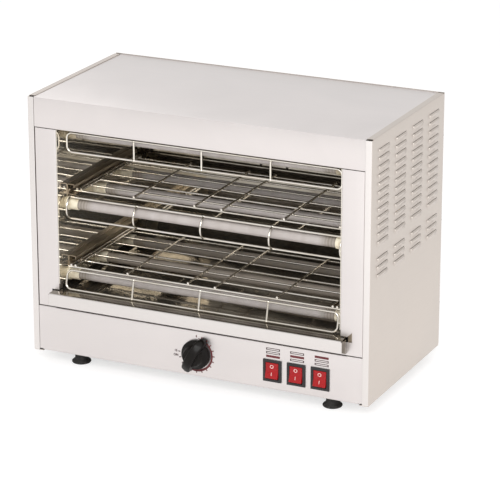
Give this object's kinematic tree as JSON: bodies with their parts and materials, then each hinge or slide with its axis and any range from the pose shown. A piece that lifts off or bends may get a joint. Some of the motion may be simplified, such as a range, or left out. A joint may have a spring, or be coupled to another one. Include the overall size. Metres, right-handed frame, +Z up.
{
  "type": "commercial toaster",
  "caption": "Countertop electric toaster: open-front steel cabinet with louvred sides, quartz tubes, sliding wire racks, crumb tray, timer knob and rocker switches.",
  "frame": {"origin": "middle of the footprint on the surface that the feet stand on", "axes": "+X to the right seen from the front, +Y to the back, +Z up"},
  "size_m": [0.506, 0.29, 0.38],
  "materials": {
    "brushed_casing": "fine satin stainless sheet",
    "plain_steel": "mill finish stainless sheet",
    "polished_chamber": "mirror-polished stainless sheet",
    "bright_wire": "bright plated round wire",
    "frosted_quartz": "frosted fused quartz",
    "cream_ceramic": "unglazed steatite",
    "resistance_wire": "oxidised coiled wire",
    "brass_strip": "plain",
    "zinc_steel": "zinc plated",
    "black_knob": "polished",
    "black_plastic": "fine grain",
    "red_plastic": "translucent red",
    "black_rubber": "moulded",
    "loom_sleeve": "woven glass sleeve"
  },
  "bodies": {
    "casing": {"base_panel": "plain_steel", "bus_strips_left": "brass_strip", "bus_strips_right": "brass_strip", "cable_gland": "black_plastic", "cavity_back_wall": "polished_chamber", "cavity_roof": "polished_chamber", "cavity_wall_left": "polished_chamber", "cavity_wall_right": "polished_chamber", "ceramic_caps_bottom": "cream_ceramic", "ceramic_caps_middle": "cream_ceramic", "ceramic_caps_top": "cream_ceramic", "control_panel": "brushed_casing", "foot_front_left": "black_rubber", "foot_front_right": "black_rubber", "foot_rear_left": "black_rubber", "foot_rear_right": "black_rubber", "foot_screws": "zinc_steel", "front_frame": "brushed_casing", "guard_bottom": "bright_wire", "guard_middle": "bright_wire", "guard_top": "bright_wire", "heat_shield": "plain_steel", "heating_coils_bottom": "resistance_wire", "heating_coils_middle": "resistance_wire", "heating_coils_top": "resistance_wire", "panel_screws": "zinc_steel", "quartz_tube_bottom_front": "frosted_quartz", "quartz_tube_bottom_middle": "frosted_quartz", "quartz_tube_bottom_rear": "frosted_quartz", "quartz_tube_middle_front": "frosted_quartz", "quartz_tube_middle_middle": "frosted_quartz", "quartz_tube_middle_rear": "frosted_quartz", "quartz_tube_top_front": "frosted_quartz", "quartz_tube_top_middle": "frosted_quartz", "quartz_tube_top_rear": "frosted_quartz", "rack_rail_lower_left": "polished_chamber", "rack_rail_lower_right": "polished_chamber", "rack_rail_upper_left": "polished_chamber", "rack_rail_upper_right": "polished_chamber", "rear_panel": "plain_steel", "side_panel_left": "brushed_casing", "side_panel_right": "brushed_casing", "switch_housing_1": "black_plastic", "switch_housing_2": "black_plastic", "switch_housing_3": "black_plastic", "terminal_block": "cream_ceramic", "timer_body": "zinc_steel", "timer_nut": "zinc_steel", "top_panel": "brushed_casing", "tray_runner_left": "plain_steel", "tray_runner_right": "plain_steel", "wiring_loom": "loom_sleeve"},
    "timer_dial": {"timer_knob": "black_knob", "timer_shaft": "zinc_steel"},
    "tray": {"crumb_tray": "polished_chamber"},
    "upper_rack": {"rack_upper": "bright_wire"},
    "lower_rack": {"rack_lower": "bright_wire"},
    "rocker_1": {"switch_rocker_1": "red_plastic"},
    "rocker_2": {"switch_rocker_2": "red_plastic"},
    "rocker_3": {"switch_rocker_3": "red_plastic"}
  },
  "joints": [
    {"name": "timer_turn", "type": "hinge", "parent": "casing", "child": "timer_dial", "pos_m": [0, -0.121, 0.0506], "axis": [0, 1, 0], "range_deg": [-28.8, 241.2]},
    {"name": "tray_slide", "type": "slide", "parent": "casing", "child": "tray", "axis": [0, -1, 0], "range_m": [0, 0.2]},
    {"name": "upper_rack_slide", "type": "slide", "parent": "casing", "child": "upper_rack", "axis": [0, -1, 0], "range_m": [0, 0.15]},
    {"name": "lower_rack_slide", "type": "slide", "parent": "casing", "child": "lower_rack", "axis": [0, -1, 0], "range_m": [-0.021, 0.15]},
    {"name": "rocker_1_tilt", "type": "hinge", "parent": "casing", "child": "rocker_1", "pos_m": [0.112, -0.1165, 0.0453], "axis": [1, 0, 0], "range_deg": [0, 16]},
    {"name": "rocker_2_tilt", "type": "hinge", "parent": "casing", "child": "rocker_2", "pos_m": [0.1465, -0.1165, 0.0453], "axis": [1, 0, 0], "range_deg": [0, 16]},
    {"name": "rocker_3_tilt", "type": "hinge", "parent": "casing", "child": "rocker_3", "pos_m": [0.181, -0.1165, 0.0453], "axis": [1, 0, 0], "range_deg": [0, 16]}
  ]
}
